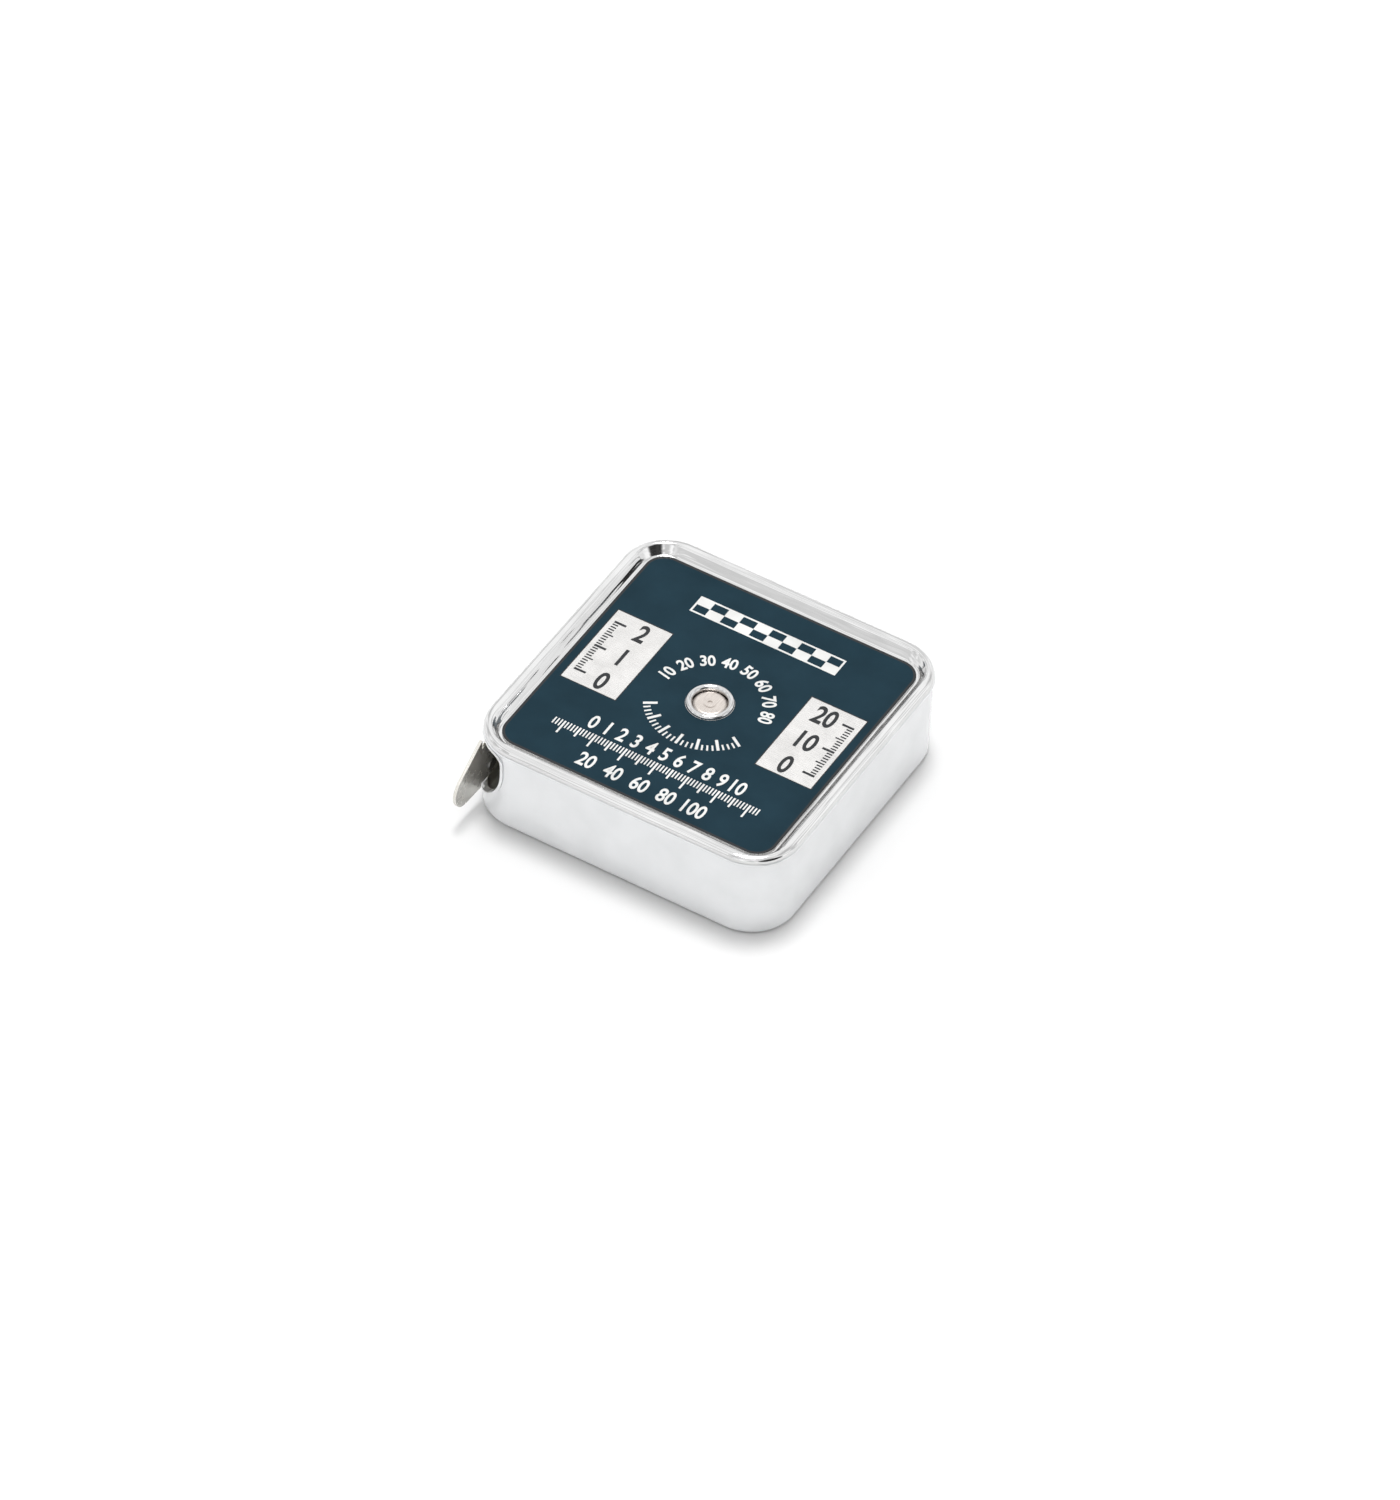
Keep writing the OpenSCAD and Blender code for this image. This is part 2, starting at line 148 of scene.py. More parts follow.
class Material(Nodes):
    """A material on a Principled shader, with its noise in the object's coordinates, in metres."""

    def __init__(self, name, colour, metallic=0.0, roughness=0.5, **sockets):
        self.data = bpy.data.materials.new(name)
        self.data.use_nodes = True
        super().__init__(self.data.node_tree, "Object")
        self.shader = self.tree.nodes["Principled BSDF"]
        self.shader.inputs["Base Color"].default_value = (*colour, 1)
        self.shader.inputs["Metallic"].default_value = metallic
        self.shader.inputs["Roughness"].default_value = roughness
        for socket, value in sockets.items():
            self.shader.inputs[socket.replace("_", " ")].default_value = value

    def stretched(self, scale, turn=0.0):
        """The object coordinates, scaled along each axis."""
        mapping = self.node("ShaderNodeMapping")
        mapping.inputs["Scale"].default_value = scale
        mapping.inputs["Rotation"].default_value = (0, 0, turn)
        self.link(self.place, mapping.inputs["Vector"])
        return mapping.outputs["Vector"]

    def blend(self, factor, first, second):
        """Mixes two colours by a factor. The node's colour sockets are reached by number."""
        made = self.node("ShaderNodeMix", data_type="RGBA")
        self.link(factor, made.inputs["Factor"])
        for socket, value in zip((made.inputs[6], made.inputs[7]), (first, second)):
            if isinstance(value, tuple):
                socket.default_value = (*value, 1)
            else:
                self.link(value, socket)
        return made.outputs[2]

    def axes(self, place):
        made = self.node("ShaderNodeSeparateXYZ")
        self.link(place, made.inputs["Vector"])
        return made.outputs

    def out_from_corners(self):
        """How far a point lies outside the square through the centres of the case's four corners."""
        place = self.axes(self.place)
        squares = []
        for axis in ("X", "Y"):
            side = self.math("SUBTRACT", self.math("ABSOLUTE", place[axis]), CORNER_AT)
            side = self.math("MAXIMUM", side, 0)
            squares.append(self.math("MULTIPLY", side, side))
        return self.math("SQRT", self.math("ADD", *squares))

    def colour(self, source):
        self.link(source, self.shader.inputs["Base Color"])

    def rough(self, source):
        self.link(source, self.shader.inputs["Roughness"])

    def metal(self, source):
        self.link(source, self.shader.inputs["Metallic"])

    def bump(self, height, depth, strength=1.0):
        made = self.node("ShaderNodeBump")
        made.inputs["Strength"].default_value = strength
        made.inputs["Distance"].default_value = depth
        self.link(height, made.inputs["Height"])
        self.link(made.outputs["Normal"], self.shader.inputs["Normal"])


PLATE_WAVE = 0.0004 * MM
ROLL_SIZE = 0.45 * MM
ROLL_DEPTH = 0.08 * MM
ROLL_DRIFT = 0.04
BARE_STEEL = (0.55, 0.54, 0.49)
BARE_ROUGH = 0.5
SHELL_METALLIC = 0.35

# The case is a square with round corners. CORNER_AT is where their centres lie in X and Y, and
# WALL_MIDDLE is how far out from them the middle of the body's wall is.
CASE_CORNER = 7.3 * MM
CORNER_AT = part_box("top_cover")[1].x - CASE_CORNER
WALL_MIDDLE = 6.8 * MM
BASE_MIDDLE = 0.3 * MM


def plating(made, colour, shine, haze):
    """Colour, roughness and height of polished plate: smudged, finely scratched and never quite flat."""
    smudge = made.noise(6 * MM, 4)
    hairline = made.noise(0.25 * MM, 2, made.stretched((1, 0.04, 1), radians(35)))
    haze_part = made.ramp(smudge, 0.42, 0.68, shine, shine + haze)
    scratch_part = made.ramp(hairline, 0.62, 0.75, 0.0, 0.05)
    dark = tuple(c * 0.93 for c in colour)
    plate = made.blend(made.ramp(smudge, 0.35, 0.7, 0.0, 1.0), colour, dark)
    grain = made.noise(0.12 * MM, 2)
    height = made.math("ADD", made.noise(9 * MM, 1), made.math("MULTIPLY", grain, 0.01))
    return plate, made.math("ADD", haze_part, scratch_part), height


def polished_metal(name, colour, shine, haze):
    made = Material(name, colour, metallic=1.0, roughness=shine)
    plate, gloss, height = plating(made, colour, shine, haze)
    made.colour(plate)
    made.rough(gloss)
    made.bump(height, PLATE_WAVE)
    return made.data


def rolled_cover(name, colour, shine, haze):
    """The cover: polished plate, with faint lines that were rolled into its rim and run round it."""
    made = Material(name, colour, metallic=1.0, roughness=shine)
    plate, gloss, _ = plating(made, colour, shine, haze)
    made.colour(plate)
    made.rough(gloss)
    drift = made.axes(made.stretched((ROLL_DRIFT, ROLL_DRIFT, ROLL_DRIFT)))
    run = made.node("ShaderNodeCombineXYZ")
    for socket, value in zip(run.inputs, (made.out_from_corners(), drift["X"], drift["Y"])):
        made.link(value, socket)
    made.bump(made.noise(ROLL_SIZE, 1, run.outputs["Vector"]), ROLL_DEPTH)
    return made.data


def plated_shell(name, colour, shine, haze):
    """The body: polished plate outside, dull bare steel inside."""
    made = Material(name, colour, roughness=shine)
    wall = made.math("GREATER_THAN", made.out_from_corners(), WALL_MIDDLE)
    base = made.math("LESS_THAN", made.axes(made.place)["Z"], BASE_MIDDLE)
    outside = made.math("MAXIMUM", wall, base)
    plate, gloss, height = plating(made, colour, shine, haze)
    made.colour(made.blend(outside, BARE_STEEL, plate))
    made.rough(made.math("MAXIMUM", gloss, made.ramp(outside, 0.0, 1.0, BARE_ROUGH, 0.0)))
    made.metal(made.ramp(outside, 0.0, 1.0, 0.0, SHELL_METALLIC))
    made.bump(height, PLATE_WAVE)
    return made.data


def brushed_metal(name, colour, roughness, along=(1, 0.03, 0.03), metallic=1.0):
    """Drawn, turned or rolled metal, with a fine grain along one direction."""
    made = Material(name, colour, metallic=metallic, roughness=roughness)
    grain = made.noise(0.06 * MM, 3, made.stretched(along))
    patch = made.noise(2.5 * MM, 3)
    made.rough(made.ramp(grain, 0.3, 0.7, roughness * 0.7, roughness * 1.3))
    dark = tuple(c * 0.86 for c in colour)
    made.colour(made.blend(made.ramp(patch, 0.35, 0.75, 0.0, 1.0), colour, dark))
    made.bump(grain, 0.004 * MM, 0.5)
    return made.data


def printed_ink(name, colour, roughness, level):
    """Screen-printed ink on the label plate: satin, a little uneven, worn thin in specks."""
    made = Material(name, colour, roughness=roughness, Specular_IOR_Level=level)
    cloud = made.noise(5 * MM, 3)
    tooth = made.noise(0.15 * MM, 2)
    light = tuple(min(1.0, c * 1.25 + 0.002) for c in colour)
    made.colour(made.blend(made.ramp(cloud, 0.3, 0.75, 0.0, 1.0), colour, light))
    made.rough(made.ramp(tooth, 0.3, 0.7, roughness - 0.06, roughness + 0.08))
    made.bump(tooth, 0.003 * MM, 0.4)
    return made.data


def enamel(name, colour):
    made = Material(name, colour, roughness=0.32)
    cloud = made.noise(12 * MM, 3)
    pit = made.noise(0.4 * MM, 3)
    aged = tuple(c * k for c, k in zip(colour, (0.93, 0.9, 0.82)))
    made.colour(made.blend(made.ramp(cloud, 0.4, 0.75, 0.0, 1.0), colour, aged))
    made.rough(made.ramp(pit, 0.35, 0.7, 0.26, 0.42))
    made.bump(pit, 0.004 * MM, 0.4)
    return made.data


def moulded(name, colour, roughness):
    made = Material(name, colour, roughness=roughness)
    grain = made.noise(0.2 * MM, 3)
    dark = tuple(c * 0.8 for c in colour)
    made.colour(made.blend(made.ramp(grain, 0.35, 0.7, 0.0, 1.0), colour, dark))
    made.rough(made.ramp(grain, 0.3, 0.7, roughness - 0.08, roughness + 0.1))
    made.bump(grain, 0.01 * MM, 0.5)
    return made.data


MATERIALS = {
    "case_chrome": plated_shell("case_chrome", (0.79, 0.80, 0.81), 0.07, 0.08),
    "cover_chrome": rolled_cover("cover_chrome", (0.70, 0.70, 0.70), 0.05, 0.06),
    "label_print": brushed_metal("label_metal", (0.66, 0.65, 0.64), 0.3, (0.03, 1, 0.03), 0.75),
    "collar_bright": polished_metal("collar_bright", (0.66, 0.66, 0.66), 0.05, 0.04),
    "button_steel": brushed_metal("button_steel", (0.62, 0.57, 0.53), 0.3),
    "screw_steel": brushed_metal("screw_steel", (0.45, 0.45, 0.46), 0.35),
    "post_brass": brushed_metal("post_brass", (0.62, 0.46, 0.2), 0.3),
    "washer_nylon": moulded("washer_nylon", (0.75, 0.73, 0.66), 0.5),
    "drum_steel": brushed_metal("drum_steel", (0.5, 0.51, 0.52), 0.3),
    "spring_steel": brushed_metal("spring_steel", (0.16, 0.18, 0.24), 0.28),
    "brake_steel": brushed_metal("brake_steel", (0.5, 0.5, 0.5), 0.32),
    "brake_pad": moulded("brake_pad", (0.14, 0.07, 0.045), 0.8),
    "tape_enamel": enamel("tape_enamel", (0.80, 0.78, 0.68)),
    "tab_steel": brushed_metal("tab_steel", (0.76, 0.74, 0.69), 0.25, metallic=0.45),
}
INK_TEAL = printed_ink("ink_teal", (0.003, 0.020, 0.032), 0.38, 0.1)
INK_SILVER = printed_ink("ink_silver", (0.56, 0.56, 0.55), 0.4, 0.4)
INK_BLACK = printed_ink("ink_black", (0.008, 0.01, 0.012), 0.45, 0.3)
INK_RED = printed_ink("ink_red", (0.5, 0.02, 0.015), 0.4, 0.4)


def finish_cad_nodes():
    """Gives every CAD node the material of its slot in the record."""
    slots = {part["node"]: part["material_slot"] for part in frame["record"]["subparts"]}
    for name, node in nodes.items():
        for slot in node.material_slots:
            slot.material = MATERIALS[slots[name]]


FLOOR_HALF = 6
FLOOR_WHITE = (0.73, 0.73, 0.73)


def make_floor():
    white = Material("floor_white", FLOOR_WHITE, roughness=0.9)
    corners = bar(-FLOOR_HALF, FLOOR_HALF, -FLOOR_HALF, FLOOR_HALF)
    mesh = bpy.data.meshes.new("floor")
    mesh.from_pydata([(x, y, 0) for x, y in corners], [], [(0, 1, 2, 3)])
    floor = bpy.data.objects.new("floor", mesh)
    floor.data.materials.append(white.data)
    scene.collection.objects.link(floor)


# The studio: a bright room with uneven walls, a soft light overhead and a little behind, and
# one dark screen in front on the right, which the rim reflects in its corners. An EDGE is a
# pair of cosines of the angle off a direction, between which the change towards it happens.
KEY_TOWARD = (-0.085, 0.155, 0.984)
KEY_EDGE = (0.984, 0.994)
KEY_LIGHT = 26
SCREEN_TOWARD = (0.85, -0.38, 0.365)
SCREEN_EDGE = (0.89, 0.955)
SCREEN_SHADE = 0.95
ROOM_EDGE = (0.0, 0.9)
ROOM_LOW = 1.15
ROOM_HIGH = 1.0
UP = (0, 0, 1)
PATCH_EDGE = (0.05, 0.3)
PATCH_SIZE = 0.28
PATCH_DEPTH = 0.3


def make_studio():
    world = bpy.data.worlds.new("studio")
    world.use_nodes = True
    sky = Nodes(world.node_tree, "Generated")

    def towards(direction, edge, start, end):
        """Goes from start to end as a ray turns towards a direction."""
        made = sky.node("ShaderNodeVectorMath", operation="DOT_PRODUCT")
        made.inputs[1].default_value = direction
        sky.link(sky.place, made.inputs[0])
        return sky.ramp(made.outputs["Value"], *edge, start, end, "SMOOTHSTEP")

    cloud = sky.ramp(sky.noise(PATCH_SIZE, 1), 0.35, 0.65, -PATCH_DEPTH, PATCH_DEPTH, "SMOOTHSTEP")
    patches = sky.math("MULTIPLY", cloud, towards(UP, PATCH_EDGE, 0.0, 1.0))
    room = sky.math("ADD", towards(KEY_TOWARD, ROOM_EDGE, ROOM_LOW, ROOM_HIGH), patches)
    screen = towards(SCREEN_TOWARD, SCREEN_EDGE, 1.0, 1 - SCREEN_SHADE)
    key = towards(KEY_TOWARD, KEY_EDGE, 0.0, KEY_LIGHT)
    background = sky.tree.nodes["Background"]
    background.inputs["Color"].default_value = (1, 1, 1, 1)
    sky.link(sky.math("ADD", sky.math("MULTIPLY", room, screen), key), background.inputs["Strength"])
    scene.world = world
    scene.view_settings.view_transform = "Standard"
    scene.cycles.caustics_reflective = False


# ---------- flat shapes ----------

SMOOTH_STEPS = 12


def smooth(share):
    """Eases a share from 0 to 1, level at both ends."""
    return share * share * (3 - 2 * share)


def rank(k):
    """Which kind of graduation the k-th tick is: a tenth one, a fifth one or a single one."""
    return 10 if k % 10 == 0 else 5 if k % 5 == 0 else 1


def arc(centre, radius, start, end, steps=SMOOTH_STEPS):
    """Points on an arc, with angles in degrees from +X."""
    angles = [radians(start + (end - start) * k / steps) for k in range(steps + 1)]
    return [(centre[0] + radius * cos(a), centre[1] + radius * sin(a)) for a in angles]


def rounded_box(width, height, radius, centre=(0, 0)):
    x, y = width / 2 - radius, height / 2 - radius
    corners = ((x, y, 0), (-x, y, 90), (-x, -y, 180), (x, -y, 270))
    points = []
    for cx, cy, start in corners:
        points += arc((centre[0] + cx, centre[1] + cy), radius, start, start + 90)
    return points


def bar(x0, x1, y0, y1):
    return [(x0, y0), (x1, y0), (x1, y1), (x0, y1)]


def circle(radius, centre=(0, 0)):
    return arc(centre, radius, 0, 360, 64)[:-1]


def filled(outlines, low, high):
    """A flat mesh from closed outlines in the XY plane. An outline inside another one is a hole."""
    curve = bpy.data.curves.new("outline", "CURVE")
    curve.dimensions = "2D"
    curve.fill_mode = "BOTH"
    curve.extrude = (high - low) / 2
    for points in outlines:
        spline = curve.splines.new("POLY")
        spline.points.add(len(points) - 1)
        for point, (x, y) in zip(spline.points, points):
            point.co = (x, y, 0, 1)
        spline.use_cyclic_u = True
    return to_mesh(curve, (low + high) / 2)


def to_mesh(curve, middle):
    holder = bpy.data.objects.new(curve.name, curve)
    scene.collection.objects.link(holder)
    depsgraph = bpy.context.evaluated_depsgraph_get()
    mesh = bpy.data.meshes.new_from_object(holder.evaluated_get(depsgraph))
    bpy.data.objects.remove(holder)
    bpy.data.curves.remove(curve)
    mesh.transform(Matrix.Translation((0, 0, middle)))
    return mesh


# The height of a digit, as a share of the font size.
CAP_SHARE = 0.729


def numeral(text, height, low, high, narrow=0.8, bold=0.03, steps=5):
    """A printed number, centred on the origin. bold is a share of the height."""
    curve = bpy.data.curves.new("numeral", "FONT")
    curve.body = text
    curve.size = height / CAP_SHARE
    curve.align_x = "CENTER"
    curve.offset = bold * height
    curve.extrude = (high - low) / 2
    curve.resolution_u = steps
    mesh = to_mesh(curve, (low + high) / 2)
    mesh.transform(Matrix.Diagonal((narrow, 1, 1, 1)) @ Matrix.Translation((0, -height / 2, 0)))
    return mesh


WELD = 0.0005 * MM


def add_piece(name, parts, material, body=None):
    """Joins (mesh, matrix) pairs into one piece, which rides on a body where one is given."""
    bm = bmesh.new()
    for mesh, matrix in parts:
        first = len(bm.verts)
        bm.from_mesh(mesh)
        bm.verts.ensure_lookup_table()
        bmesh.ops.transform(bm, matrix=matrix, verts=bm.verts[first:])
    bmesh.ops.remove_doubles(bm, verts=bm.verts, dist=WELD)
    bmesh.ops.recalc_face_normals(bm, faces=bm.faces)
    joined = bpy.data.meshes.new(name)
    bm.to_mesh(joined)
    bm.free()
    piece = bpy.data.objects.new(name, joined)
    piece.data.materials.append(material)
    scene.collection.objects.link(piece)
    if body:
        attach(piece, body)
    return piece


# ---------- label print ----------

INK_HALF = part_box("label_plate")[1].x
INK_CORNER = 3.1 * MM
COLLAR_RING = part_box("button_collar")[1].x + 0.05 * MM
INK_LOW = LABEL_TOP
INK_HIGH = LABEL_TOP + 0.012 * MM
MARK_HIGH = LABEL_TOP + 0.022 * MM
PANEL_X = 15.86 * MM
PANEL_Y = 1.0 * MM
PANEL_W = 8.9 * MM
PANEL_H = 15.5 * MM
OUTLINE = 0.42 * MM
PANEL_OUTLINE = 0.16 * MM


def panel(side, grow=0.0):
    """A silver panel's outline: the left one for side -1, the right one for side 1."""
    x = side * PANEL_X
    half_w = PANEL_W / 2 + grow
    half_h = PANEL_H / 2 + grow
    return bar(x - half_w, x + half_w, PANEL_Y - half_h, PANEL_Y + half_h)


HERE = Matrix.Identity(4)


def at(x, y, turn=0.0):
    return Matrix.Translation((x, y, 0)) @ Matrix.Rotation(turn, 4, "Z")


def make_label_ground():
    """The dark ink, open over the panels and round the collar, and the thin black line at its edges."""
    outer = rounded_box(2 * INK_HALF, 2 * INK_HALF, INK_CORNER)
    inner_half = INK_HALF - OUTLINE
    inner = rounded_box(2 * inner_half, 2 * inner_half, INK_CORNER - OUTLINE)
    openings = [panel(-1, PANEL_OUTLINE), panel(1, PANEL_OUTLINE), circle(COLLAR_RING)]
    ground = filled([inner] + openings, INK_LOW, INK_HIGH)
    add_piece("label_ground", [(ground, HERE)], INK_TEAL, "case")
    lines = [filled([outer, inner], INK_LOW, INK_HIGH)]
    for side in (-1, 1):
        lines.append(filled([panel(side, PANEL_OUTLINE), panel(side)], INK_LOW, INK_HIGH))
    add_piece("label_outlines", [(line, HERE) for line in lines], INK_BLACK, "case")


# The scale bar at the head of the label: a silver bar with two rows of dark cells, open by turns.
HEAD_LEFT = -11.9 * MM
HEAD_RIGHT = 11.9 * MM
HEAD_LOW = 14.1 * MM
HEAD_HIGH = 17.5 * MM
HEAD_CELLS = 10
HEAD_FRAME = 0.3 * MM
CELL_GAP = 0.02 * MM


def scale_bar():
    step = (HEAD_RIGHT - HEAD_LEFT) / HEAD_CELLS
    middle = (HEAD_LOW + HEAD_HIGH) / 2
    outlines = [bar(HEAD_LEFT, HEAD_RIGHT, HEAD_LOW, HEAD_HIGH)]
    for k in range(HEAD_CELLS):
        left = HEAD_LEFT + (HEAD_FRAME if k == 0 else k * step + CELL_GAP)
        right = HEAD_LEFT + (k + 1) * step - (HEAD_FRAME if k == HEAD_CELLS - 1 else CELL_GAP)
        if k % 2 == 0:
            outlines.append(bar(left, right, HEAD_LOW + HEAD_FRAME, middle - CELL_GAP))
        else:
            outlines.append(bar(left, right, middle + CELL_GAP, HEAD_HIGH - HEAD_FRAME))
    return filled(outlines, INK_HIGH, MARK_HIGH)


# The ring round the button: numbers over it, graduations under it. Angles are in degrees from +X.
RING_R = 8.35 * MM
RING_HEIGHT = 2.05 * MM
RING_NUMBERS = 8
RING_NUMBERS_FROM = 168
RING_NUMBERS_TO = 12
RING_TICKS = 25
RING_TICKS_FROM = 213
RING_TICKS_TO = 327
RING_TICK_LONG = 0.42 * MM
RING_TICK_SHORT = 0.26 * MM


def ring_marks():
    parts = []
    for k in range(RING_NUMBERS):
        share = k / (RING_NUMBERS - 1)
        angle = radians(RING_NUMBERS_FROM + share * (RING_NUMBERS_TO - RING_NUMBERS_FROM))
        mesh = numeral(str(10 * (k + 1)), RING_HEIGHT, INK_HIGH, MARK_HIGH, narrow=0.82, bold=0.035)
        parts.append((mesh, at(RING_R * cos(angle), RING_R * sin(angle), angle - pi / 2)))
    outer = RING_R + RING_HEIGHT / 2
    for k in range(RING_TICKS):
        share = k / (RING_TICKS - 1)
        angle = radians(RING_TICKS_FROM + share * (RING_TICKS_TO - RING_TICKS_FROM))
        if k % 4 == 0:
            half_w, inner = RING_TICK_LONG / 2, RING_R - RING_HEIGHT / 2
        else:
            half_w, inner = RING_TICK_SHORT / 2, RING_R
        tick = filled([bar(-half_w, half_w, -outer, -inner)], INK_HIGH, MARK_HIGH)
        parts.append((tick, at(0, 0, angle + pi / 2)))
    return parts


# The rule at the foot of the label: centimetres over it, twenties under it.
FOOT_HEIGHT = 2.6 * MM
FOOT_NUMBERS_Y = -11.95 * MM
FOOT_TICKS_Y = -15.3 * MM
FOOT_TWENTIES_Y = -18.85 * MM
FOOT_NUMBERS_STEP = 2.32 * MM
FOOT_TWENTIES_STEP = 4.3 * MM
FOOT_TICK_STEP = 0.5 * MM
FOOT_TICKS_HALF = 33
FOOT_TICK_SHARE = {10: 1.0, 5: 0.75, 1: 0.5}
FOOT_TICK_HALF_W = {10: 0.15 * MM, 5: 0.15 * MM, 1: 0.11 * MM}
FOOT_NUMBERS = 11
FOOT_TWENTIES = 5


def foot_number(text, x, y):
    mesh = numeral(text, FOOT_HEIGHT, INK_HIGH, MARK_HIGH, narrow=0.74, bold=0.03)
    return mesh, at(x, y)


def foot_marks():
    parts = []
    for k in range(FOOT_NUMBERS):
        x = (k - (FOOT_NUMBERS - 1) / 2) * FOOT_NUMBERS_STEP
        parts.append(foot_number(str(k), x, FOOT_NUMBERS_Y))
    top = FOOT_TICKS_Y + FOOT_HEIGHT / 2
    for k in range(-FOOT_TICKS_HALF, FOOT_TICKS_HALF + 1):
        height = FOOT_HEIGHT * FOOT_TICK_SHARE[rank(k)]
        half_w = FOOT_TICK_HALF_W[rank(k)]
        x = k * FOOT_TICK_STEP
        tick = filled([bar(x - half_w, x + half_w, top - height, top)], INK_HIGH, MARK_HIGH)
        parts.append((tick, HERE))
    for k in range(FOOT_TWENTIES):
        x = (k - (FOOT_TWENTIES - 1) / 2) * FOOT_TWENTIES_STEP
        parts.append(foot_number(str(20 * (k + 1)), x, FOOT_TWENTIES_Y))
    return parts


# The gauges in the two panels: ticks up the outer side, numbers beside them.
GAUGE_STEPS = 20
GAUGE_NUMBER = 3.5 * MM
GAUGE_EDGE = 0.75 * MM
GAUGE_END = 2.3 * MM
GAUGE_NUMBER_IN = 0.9 * MM
GAUGE_TICK_LENGTH = {10: 1.9 * MM, 5: 1.4 * MM, 1: 0.9 * MM}
GAUGE_TICK_HALF_H = {10: 0.2 * MM, 5: 0.12 * MM, 1: 0.12 * MM}


def gauge(side, texts):
    parts = []
    edge = side * (PANEL_X + PANEL_W / 2 - GAUGE_EDGE)
    low = PANEL_Y - PANEL_H / 2 + GAUGE_END
    high = PANEL_Y + PANEL_H / 2 - GAUGE_END
    for k in range(GAUGE_STEPS + 1):
        y = low + (high - low) * k / GAUGE_STEPS
        half_h = GAUGE_TICK_HALF_H[rank(k)]
        left, right = sorted((edge, edge - side * GAUGE_TICK_LENGTH[rank(k)]))
        tick = filled([bar(left, right, y - half_h, y + half_h)], INK_LOW, INK_HIGH)
        parts.append((tick, HERE))
    for text, y in zip(texts, (low, (low + high) / 2, high)):
        mesh = numeral(text, GAUGE_NUMBER, INK_LOW, INK_HIGH, narrow=0.72, bold=0.035)
        parts.append((mesh, at(side * (PANEL_X - GAUGE_NUMBER_IN), y)))
    return parts


def make_label_print():
    make_label_ground()
    marks = [(scale_bar(), HERE)] + ring_marks() + foot_marks()
    add_piece("label_marks", marks, INK_SILVER, "case")
    gauges = gauge(-1, ("0", "1", "2")) + gauge(1, ("0", "10", "20"))
    add_piece("label_gauges", gauges, INK_BLACK, "case")


# ---------- blade ----------

# The blade is one strip from the drum to the tab. As it is pulled, the stretch of it in the case
# spreads out, so its print is laid out for the blade at full length and then drawn in.
BLADE_LOW, BLADE_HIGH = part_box("tape_blade")
TAB_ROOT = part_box("tape_blade")[0].y - 0.6 * MM
TRAVEL = next(joint for joint in frame["joints"] if joint["name"] == "blade_slide")["range_m"][1]
SPREAD_START = -0.5 * MM
SPREAD_END = -15 * MM
HALVINGS = 40
BLADE_PRINT = 0.012 * MM
BLADE_STEP = 10 * MM
TICK_W = 0.16 * MM
TICK_LENGTHS = {10: 3.4 * MM, 5: 2.5 * MM, 1: 1.7 * MM}
TICK_EDGE = 0.15 * MM
FIRST_TICK = 2
TICKS_PAST_TRAVEL = 8
NUMBER_HEIGHT = 3.0 * MM
NUMBER_UP = 2.15 * MM
DIGIT_STEP = 1.95 * MM


def drawn_in(y):
    """Where a point of the pulled blade lies along Y when the blade is wound in, found by halving."""
    if y <= SPREAD_END - TRAVEL:
        return y + TRAVEL
    if y >= SPREAD_START:
        return y
    near, far = 0.0, 1.0
    for _ in range(HALVINGS):
        share = (near + far) / 2
        if SPREAD_START + share * (SPREAD_END - SPREAD_START) - TRAVEL * smooth(share) > y:
            near = share
        else:
            far = share
    return SPREAD_START + near * (SPREAD_END - SPREAD_START)


def add_blade_piece(name, parts, material):
    """A piece laid out along the pulled blade and drawn into the case."""
    piece = add_piece(name, parts, material)
    for vertex in piece.data.vertices:
        vertex.co.y = drawn_in(vertex.co.y)
    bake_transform(piece)
    return piece


def swept_mesh(name, sections):
    """A closed mesh through a row of four-cornered sections, anticlockwise as seen along the row."""
    bm = bmesh.new()
    rings = [[bm.verts.new(corner) for corner in section] for section in sections]
    for first, second in zip(rings, rings[1:]):
        for k in range(4):
            bm.faces.new((first[k], first[k - 1], second[k - 1], second[k]))
    bm.faces.new(rings[0])
    bm.faces.new(reversed(rings[-1]))
    mesh = bpy.data.meshes.new(name)
    bm.to_mesh(mesh)
    bm.free()
    return mesh


def strip_mesh():
    """The pulled strip, with a cross edge at every centimetre."""
    section = bar(BLADE_LOW.x, BLADE_HIGH.x, BLADE_LOW.z, BLADE_HIGH.z)
    start, end = BLADE_LOW.y - TRAVEL, BLADE_HIGH.y
    count = round((end - start) / BLADE_STEP)
    ends = [start + (end - start) * k / count for k in range(count + 1)]
    return swept_mesh("strip", [[(x, y, z) for x, z in section] for y in ends])


def on_blade(along, height):
    """Stands a flat mark up on the printed face, so far along from the zero and so high up the blade."""
    place = Matrix.Translation((BLADE_HIGH.x, TAB_ROOT - TRAVEL + along, BLADE_LOW.z + height))
    return place @ Matrix(((0, 0, 1, 0), (1, 0, 0, 0), (0, 1, 0, 0), (0, 0, 0, 1)))


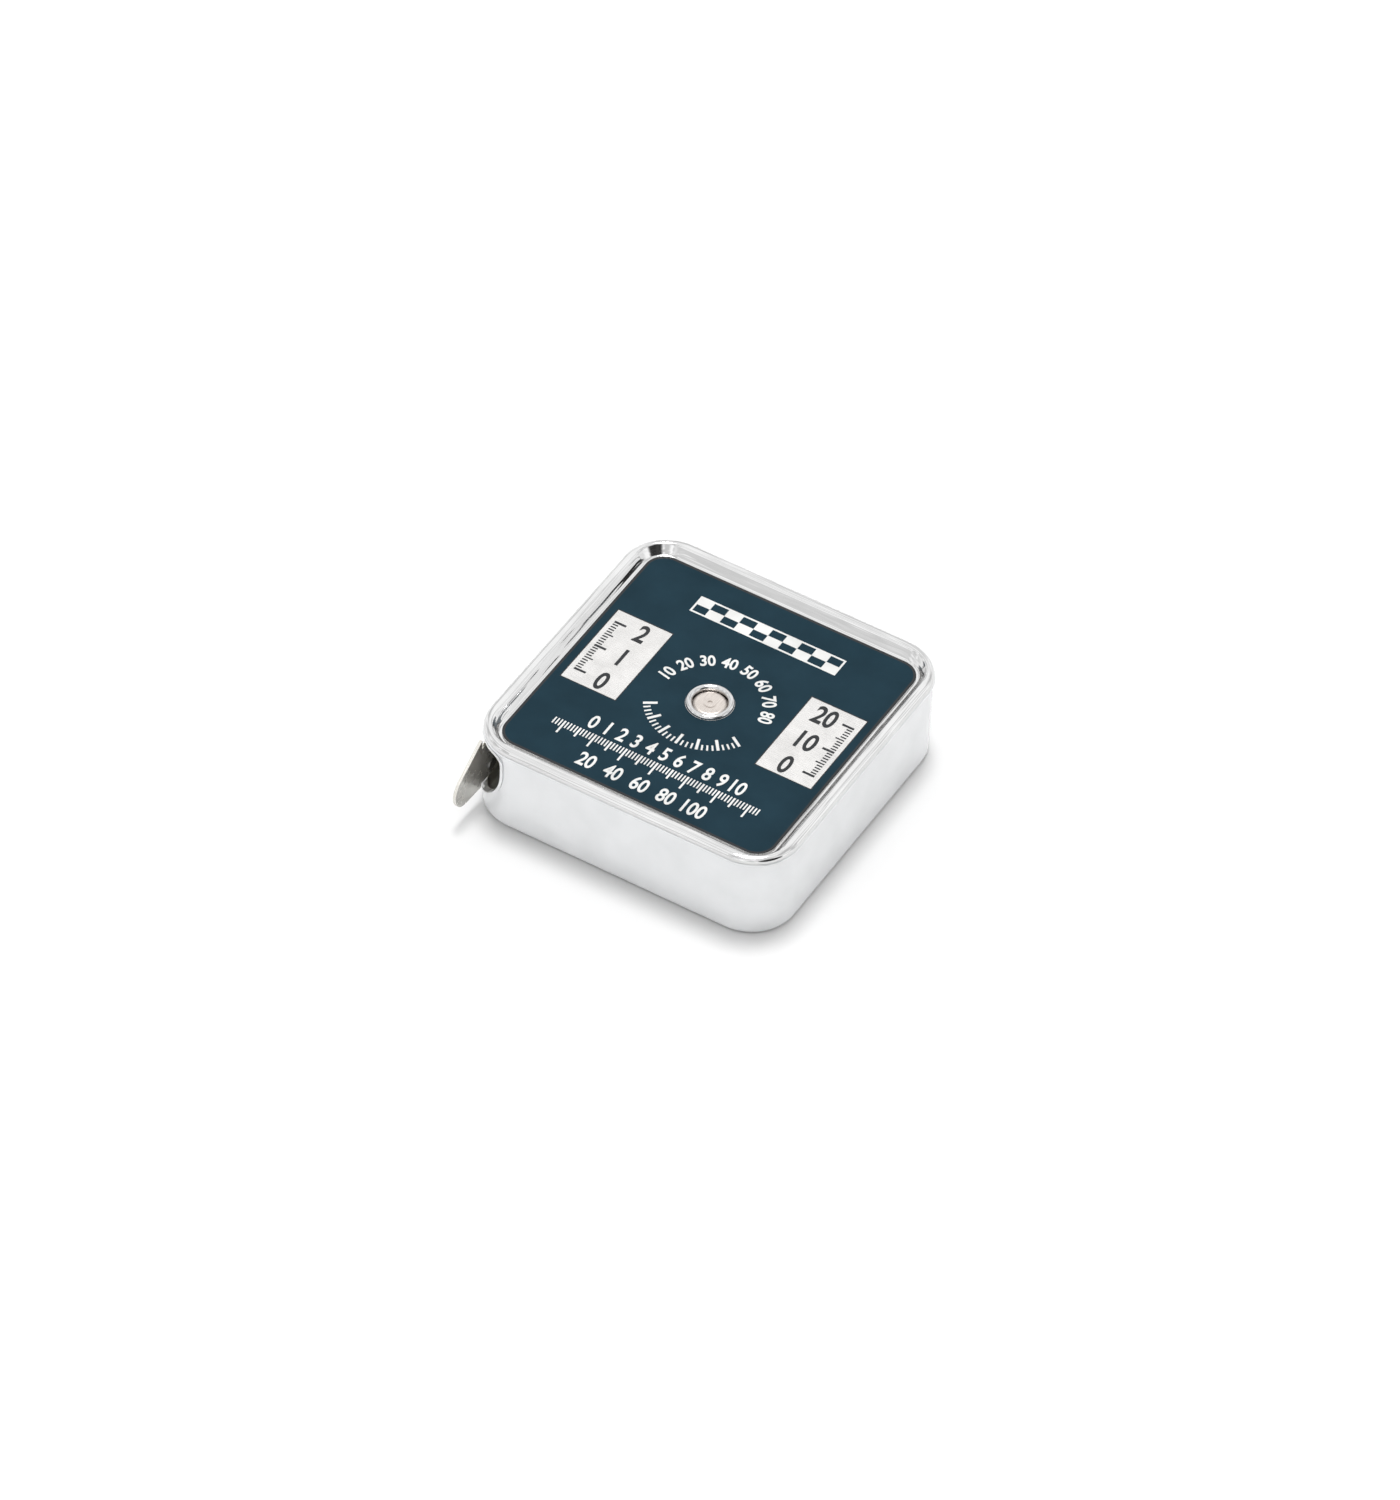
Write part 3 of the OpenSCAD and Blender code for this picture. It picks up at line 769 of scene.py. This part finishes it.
def blade_ticks():
    """A tick at every millimetre, down from the blade's upper edge; the first ones are under the tab."""
    top = BLADE_HIGH.z - BLADE_LOW.z - TICK_EDGE
    marks = {step: filled([bar(-TICK_W / 2, TICK_W / 2, -length, 0)], 0, BLADE_PRINT)
             for step, length in TICK_LENGTHS.items()}
    parts = []
    for k in range(FIRST_TICK, round(TRAVEL / MM) + TICKS_PAST_TRAVEL):
        parts.append((marks[rank(k)], on_blade(k * MM, top)))
    return parts


def blade_numbers(centimetres):
    digits = {}
    for digit in "0123456789":
        digits[digit] = numeral(digit, NUMBER_HEIGHT, 0, BLADE_PRINT, narrow=0.8, bold=0.02, steps=2)
    parts = []
    for number in centimetres:
        text = str(number)
        for k, digit in enumerate(text):
            shift = (k - (len(text) - 1) / 2) * DIGIT_STEP
            parts.append((digits[digit], on_blade(number * 10 * MM + shift, NUMBER_UP)))
    return parts


def make_blade():
    strip = add_blade_piece("blade_strip", [(strip_mesh(), HERE)], MATERIALS["tape_enamel"])
    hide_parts("tape_blade")
    last = round(TRAVEL / (10 * MM)) + 1
    tens = range(10, last, 10)
    add_blade_piece("blade_ticks", blade_ticks(), INK_BLACK)
    others = [number for number in range(1, last) if number not in tens]
    add_blade_piece("blade_numbers", blade_numbers(others), INK_BLACK)
    add_blade_piece("blade_tens", blade_numbers(tens), INK_RED)


# ---------- brake leaf ----------

LEAF_THICK = 0.12 * MM
LEAF_STEPS = 24
LEAF_FLAT = 1.2 * MM
LEAF_FOOT = 0.6 * MM


def make_brake_leaf():
    """A bent strip that hangs from the cover and presses on the brake arm."""
    low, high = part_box("brake_spring")
    fixed, free = low.x + LEAF_FLAT, high.x - LEAF_FOOT
    drop = high.z - low.z - LEAF_THICK

    def section(x):
        share = min(max((x - fixed) / (free - fixed), 0.0), 1.0)
        top = high.z - drop * smooth(share)
        return [(x, y, z) for y, z in bar(low.y, high.y, top - LEAF_THICK, top)]

    places = [low.x + (high.x - low.x) * k / LEAF_STEPS for k in range(LEAF_STEPS + 1)]
    # Seen from the free end, the sections run anticlockwise.
    parts = [(swept_mesh("leaf", [section(x) for x in reversed(places)]), HERE)]
    leaf = add_piece("brake_leaf", parts, MATERIALS["spring_steel"], "case")
    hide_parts("brake_spring")
    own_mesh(leaf)


make_camera()
make_floor()
make_studio()
finish_cad_nodes()
make_label_print()
make_blade()
make_brake_leaf()
